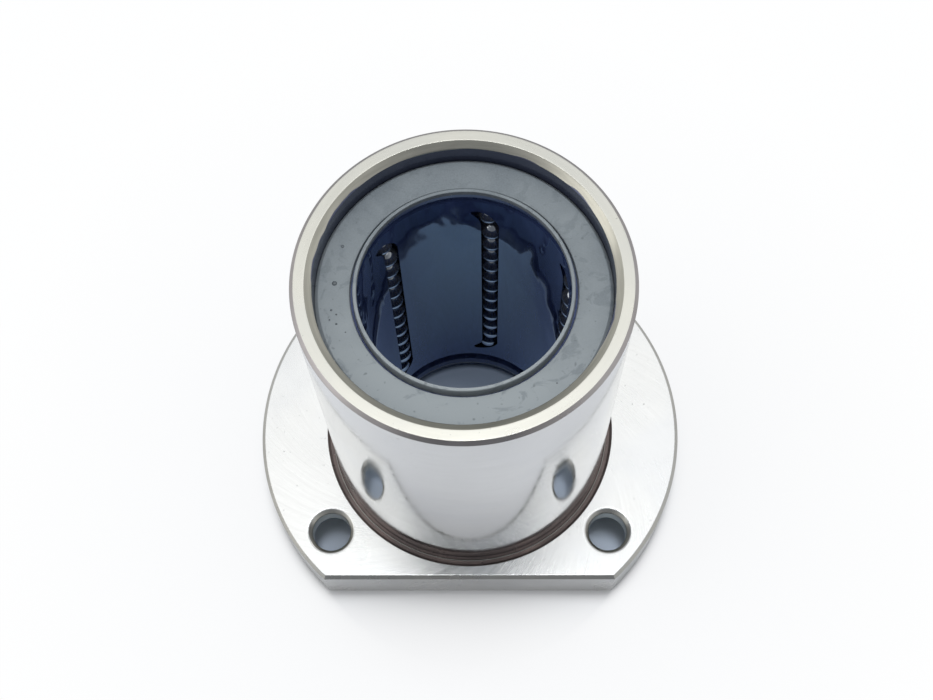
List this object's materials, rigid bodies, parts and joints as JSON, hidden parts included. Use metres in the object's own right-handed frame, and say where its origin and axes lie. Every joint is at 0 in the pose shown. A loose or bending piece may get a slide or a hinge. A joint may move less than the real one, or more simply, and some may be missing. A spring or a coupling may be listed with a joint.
{
  "type": "linear ball bushing",
  "caption": "Flanged linear ball bushing: a hardened sleeve with a two-flat bolt flange, recirculating ball trains in a moulded cage, and a lip seal at each end.",
  "frame": {"origin": "centre of the flange's back face, on the shaft's axis", "axes": "+Z along the shaft from the flange to the sleeve's free end; +Y and -Y are the flange's flats; +X is the flange's long way"},
  "size_m": [0.062, 0.046, 0.059],
  "materials": {
    "hardened_steel": "ground and oiled",
    "cage_resin": "moulded, oiled",
    "seal_rubber": "moulded, matt",
    "ball_steel": "polished"
  },
  "bodies": {
    "bushing": {"flanged_sleeve": "hardened_steel", "ball_cage": "cage_resin", "upper_seal": "seal_rubber", "lower_seal": "seal_rubber"},
    "train_1_loaded_row": {"circuit_1_loaded_row": "ball_steel"},
    "train_1_return_row": {"circuit_1_return_row": "ball_steel"},
    "train_1_upper_turn": {"circuit_1_upper_turn": "ball_steel"},
    "train_1_lower_turn": {"circuit_1_lower_turn": "ball_steel"},
    "train_2_loaded_row": {"circuit_2_loaded_row": "ball_steel"},
    "train_2_return_row": {"circuit_2_return_row": "ball_steel"},
    "train_2_upper_turn": {"circuit_2_upper_turn": "ball_steel"},
    "train_2_lower_turn": {"circuit_2_lower_turn": "ball_steel"},
    "train_3_loaded_row": {"circuit_3_loaded_row": "ball_steel"},
    "train_3_return_row": {"circuit_3_return_row": "ball_steel"},
    "train_3_upper_turn": {"circuit_3_upper_turn": "ball_steel"},
    "train_3_lower_turn": {"circuit_3_lower_turn": "ball_steel"},
    "train_4_loaded_row": {"circuit_4_loaded_row": "ball_steel"},
    "train_4_return_row": {"circuit_4_return_row": "ball_steel"},
    "train_4_upper_turn": {"circuit_4_upper_turn": "ball_steel"},
    "train_4_lower_turn": {"circuit_4_lower_turn": "ball_steel"},
    "train_5_loaded_row": {"circuit_5_loaded_row": "ball_steel"},
    "train_5_return_row": {"circuit_5_return_row": "ball_steel"},
    "train_5_upper_turn": {"circuit_5_upper_turn": "ball_steel"},
    "train_5_lower_turn": {"circuit_5_lower_turn": "ball_steel"},
    "train_6_loaded_row": {"circuit_6_loaded_row": "ball_steel"},
    "train_6_return_row": {"circuit_6_return_row": "ball_steel"},
    "train_6_upper_turn": {"circuit_6_upper_turn": "ball_steel"},
    "train_6_lower_turn": {"circuit_6_lower_turn": "ball_steel"}
  },
  "joints": [
    {"name": "train_1_loaded_roll", "type": "slide", "parent": "bushing", "child": "train_1_loaded_row", "axis": [0, 0, 1], "range_m": [-0.00159, 0.00159]},
    {"name": "train_1_return_roll", "type": "slide", "parent": "bushing", "child": "train_1_return_row", "axis": [0, 0, 1], "range_m": [-0.0016, 0.0016]},
    {"name": "train_1_upper_round", "type": "hinge", "parent": "bushing", "child": "train_1_upper_turn", "pos_m": [0.00024, 0.01435, 0.04766], "axis": [-0.2065, -0.9697, 0.1305], "range_deg": [-30, 30]},
    {"name": "train_1_lower_round", "type": "hinge", "parent": "bushing", "child": "train_1_lower_turn", "pos_m": [0.00024, 0.01435, 0.01134], "axis": [0.2065, 0.9697, 0.1305], "range_deg": [-30, 30]},
    {"name": "train_2_loaded_roll", "type": "slide", "parent": "bushing", "child": "train_2_loaded_row", "axis": [0, 0, 1], "range_m": [-0.00159, 0.00159]},
    {"name": "train_2_return_roll", "type": "slide", "parent": "bushing", "child": "train_2_return_row", "axis": [0, 0, 1], "range_m": [-0.0016, 0.0016]},
    {"name": "train_2_upper_round", "type": "hinge", "parent": "bushing", "child": "train_2_upper_turn", "pos_m": [-0.01231, 0.00738, 0.04766], "axis": [0.7365, -0.6637, 0.1305], "range_deg": [-30, 30]},
    {"name": "train_2_lower_round", "type": "hinge", "parent": "bushing", "child": "train_2_lower_turn", "pos_m": [-0.01231, 0.00738, 0.01134], "axis": [-0.7365, 0.6637, 0.1305], "range_deg": [-30, 30]},
    {"name": "train_3_loaded_roll", "type": "slide", "parent": "bushing", "child": "train_3_loaded_row", "axis": [0, 0, 1], "range_m": [-0.00159, 0.00159]},
    {"name": "train_3_return_roll", "type": "slide", "parent": "bushing", "child": "train_3_return_row", "axis": [0, 0, 1], "range_m": [-0.0016, 0.0016]},
    {"name": "train_3_upper_round", "type": "hinge", "parent": "bushing", "child": "train_3_upper_turn", "pos_m": [-0.01254, -0.00697, 0.04766], "axis": [0.943, 0.306, 0.1305], "range_deg": [-30, 30]},
    {"name": "train_3_lower_round", "type": "hinge", "parent": "bushing", "child": "train_3_lower_turn", "pos_m": [-0.01254, -0.00697, 0.01134], "axis": [-0.943, -0.306, 0.1305], "range_deg": [-30, 30]},
    {"name": "train_4_loaded_roll", "type": "slide", "parent": "bushing", "child": "train_4_loaded_row", "axis": [0, 0, 1], "range_m": [-0.00159, 0.00159]},
    {"name": "train_4_return_roll", "type": "slide", "parent": "bushing", "child": "train_4_return_row", "axis": [0, 0, 1], "range_m": [-0.0016, 0.0016]},
    {"name": "train_4_upper_round", "type": "hinge", "parent": "bushing", "child": "train_4_upper_turn", "pos_m": [-0.00024, -0.01435, 0.04766], "axis": [0.2065, 0.9697, 0.1305], "range_deg": [-30, 30]},
    {"name": "train_4_lower_round", "type": "hinge", "parent": "bushing", "child": "train_4_lower_turn", "pos_m": [-0.00024, -0.01435, 0.01134], "axis": [-0.2065, -0.9697, 0.1305], "range_deg": [-30, 30]},
    {"name": "train_5_loaded_roll", "type": "slide", "parent": "bushing", "child": "train_5_loaded_row", "axis": [0, 0, 1], "range_m": [-0.00159, 0.00159]},
    {"name": "train_5_return_roll", "type": "slide", "parent": "bushing", "child": "train_5_return_row", "axis": [0, 0, 1], "range_m": [-0.0016, 0.0016]},
    {"name": "train_5_upper_round", "type": "hinge", "parent": "bushing", "child": "train_5_upper_turn", "pos_m": [0.01231, -0.00738, 0.04766], "axis": [-0.7365, 0.6637, 0.1305], "range_deg": [-30, 30]},
    {"name": "train_5_lower_round", "type": "hinge", "parent": "bushing", "child": "train_5_lower_turn", "pos_m": [0.01231, -0.00738, 0.01134], "axis": [0.7365, -0.6637, 0.1305], "range_deg": [-30, 30]},
    {"name": "train_6_loaded_roll", "type": "slide", "parent": "bushing", "child": "train_6_loaded_row", "axis": [0, 0, 1], "range_m": [-0.00159, 0.00159]},
    {"name": "train_6_return_roll", "type": "slide", "parent": "bushing", "child": "train_6_return_row", "axis": [0, 0, 1], "range_m": [-0.0016, 0.0016]},
    {"name": "train_6_upper_round", "type": "hinge", "parent": "bushing", "child": "train_6_upper_turn", "pos_m": [0.01254, 0.00697, 0.04766], "axis": [-0.943, -0.306, 0.1305], "range_deg": [-30, 30]},
    {"name": "train_6_lower_round", "type": "hinge", "parent": "bushing", "child": "train_6_lower_turn", "pos_m": [0.01254, 0.00697, 0.01134], "axis": [0.943, 0.306, 0.1305], "range_deg": [-30, 30]}
  ],
  "couplings": [
    {"joint": "train_1_return_roll", "follows": "train_1_loaded_roll", "ratio": -1},
    {"joint": "train_1_upper_round", "follows": "train_1_loaded_roll", "rad_per_m": 327.76},
    {"joint": "train_1_lower_round", "follows": "train_1_loaded_roll", "rad_per_m": -327.76},
    {"joint": "train_2_return_roll", "follows": "train_2_loaded_roll", "ratio": -1},
    {"joint": "train_2_upper_round", "follows": "train_2_loaded_roll", "rad_per_m": 327.76},
    {"joint": "train_2_lower_round", "follows": "train_2_loaded_roll", "rad_per_m": -327.76},
    {"joint": "train_3_return_roll", "follows": "train_3_loaded_roll", "ratio": -1},
    {"joint": "train_3_upper_round", "follows": "train_3_loaded_roll", "rad_per_m": 327.76},
    {"joint": "train_3_lower_round", "follows": "train_3_loaded_roll", "rad_per_m": -327.76},
    {"joint": "train_4_return_roll", "follows": "train_4_loaded_roll", "ratio": -1},
    {"joint": "train_4_upper_round", "follows": "train_4_loaded_roll", "rad_per_m": 327.76},
    {"joint": "train_4_lower_round", "follows": "train_4_loaded_roll", "rad_per_m": -327.76},
    {"joint": "train_5_return_roll", "follows": "train_5_loaded_roll", "ratio": -1},
    {"joint": "train_5_upper_round", "follows": "train_5_loaded_roll", "rad_per_m": 327.76},
    {"joint": "train_5_lower_round", "follows": "train_5_loaded_roll", "rad_per_m": -327.76},
    {"joint": "train_6_return_roll", "follows": "train_6_loaded_roll", "ratio": -1},
    {"joint": "train_6_upper_round", "follows": "train_6_loaded_roll", "rad_per_m": 327.76},
    {"joint": "train_6_lower_round", "follows": "train_6_loaded_roll", "rad_per_m": -327.76}
  ]
}
